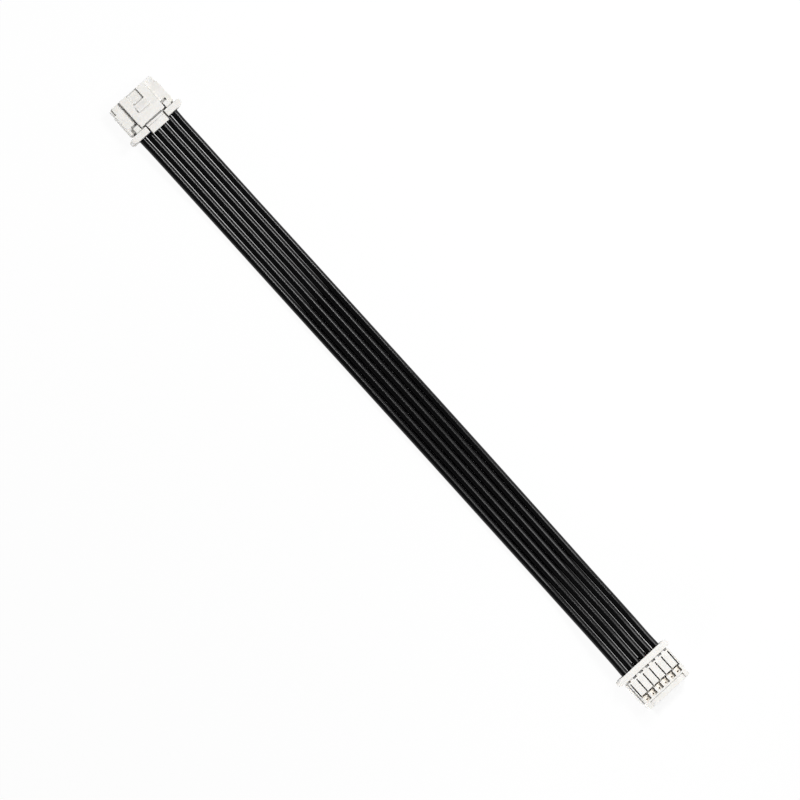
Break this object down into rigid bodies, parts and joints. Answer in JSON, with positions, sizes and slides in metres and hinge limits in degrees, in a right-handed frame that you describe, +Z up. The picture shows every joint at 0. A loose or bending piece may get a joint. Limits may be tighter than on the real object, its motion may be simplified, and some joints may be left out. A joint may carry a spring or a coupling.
{
  "type": "wire harness",
  "caption": "Short straight wire harness: an off-white latching crimp housing on each end of a flat row of black insulated wires.",
  "frame": {"origin": "middle of the harness, on the surface it lies on", "axes": "+X along the wires from the latch-up housing to the latch-down one, +Y across the row of wires, +Z up"},
  "size_m": [0.1438, 0.0116, 0.004],
  "materials": {
    "housing": "moulded off-white nylon with a fine satin surface",
    "terminal": "tin-plated phosphor bronze sheet, bright",
    "jacket": "extruded black PVC with a soft gloss",
    "conductor": "tinned stranded copper"
  },
  "bodies": {
    "root": {"housing_a": "housing", "housing_b": "housing", "terminal_a1": "terminal", "terminal_a2": "terminal", "terminal_a3": "terminal", "terminal_a4": "terminal", "terminal_a5": "terminal", "terminal_a6": "terminal", "terminal_b1": "terminal", "terminal_b2": "terminal", "terminal_b3": "terminal", "terminal_b4": "terminal", "terminal_b5": "terminal", "terminal_b6": "terminal", "wire_1": "jacket", "wire_2": "jacket", "wire_3": "jacket", "wire_4": "jacket", "wire_5": "jacket", "wire_6": "jacket", "conductor_1": "conductor", "conductor_2": "conductor", "conductor_3": "conductor", "conductor_4": "conductor", "conductor_5": "conductor", "conductor_6": "conductor"}
  },
  "joints": []
}
